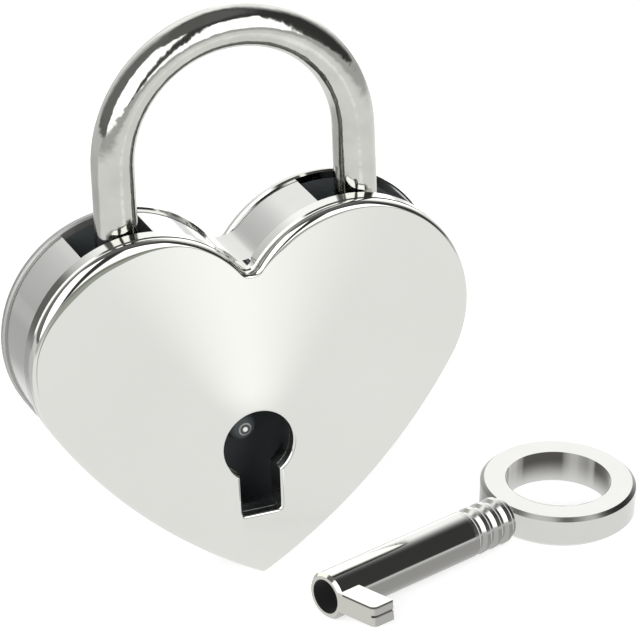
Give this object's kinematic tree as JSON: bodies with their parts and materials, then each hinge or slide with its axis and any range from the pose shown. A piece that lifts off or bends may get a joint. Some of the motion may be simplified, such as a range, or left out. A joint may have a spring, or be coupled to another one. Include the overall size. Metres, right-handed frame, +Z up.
{
  "type": "padlock",
  "caption": "Small heart-shaped padlock of polished nickel, with a swinging round shackle, a latch lever inside, and a hollow-barrelled key beside it.",
  "frame": {"origin": "inside of the shackle's crown, where the closed padlock hangs, at mid-thickness", "axes": "+X to the right as the keyhole face is seen, +Y from the keyhole face to the back cover, +Z up"},
  "size_m": [0.041, 0.0185, 0.0387],
  "materials": {
    "cover_nickel": "mirror polished nickel plate",
    "plate_nickel": "polished nickel plate",
    "wall_nickel": "polished nickel plate",
    "shackle_nickel": "polished nickel plate",
    "key_nickel": "polished nickel plate, tumbled",
    "post_steel": "bright turned steel",
    "lever_steel": "stamped steel",
    "spring_steel": "blue-grey spring steel"
  },
  "bodies": {
    "case": {"front_cover": "cover_nickel", "lock_plate": "plate_nickel", "back_cover": "plate_nickel", "side_wall": "wall_nickel", "notch_wall": "wall_nickel", "case_posts": "post_steel", "key_post": "post_steel", "shackle_pin": "post_steel", "latch_pin": "post_steel", "spring_post": "post_steel", "latch_spring": "spring_steel"},
    "bow": {"shackle": "shackle_nickel"},
    "lever": {"latch_lever": "lever_steel"},
    "loose_key": {"key": "key_nickel"}
  },
  "joints": [
    {"name": "shackle_swing", "type": "hinge", "parent": "case", "child": "bow", "pos_m": [0.0086, 0, -0.0148], "axis": [0, 1, 0], "range_deg": [0, 60]},
    {"name": "latch_swing", "type": "hinge", "parent": "case", "child": "lever", "pos_m": [-0.0056, 0.0008, -0.0196], "axis": [0, 1, 0], "range_deg": [0, 10], "stiffness_Nm_per_rad": 0.004, "springref_deg": -11.46, "deforming": ["latch_spring"]},
    {"name": "key_lift", "type": "slide", "parent": "case", "child": "loose_key", "axis": [0, -0.6, 0.8], "range_m": [0, 0.03]}
  ]
}
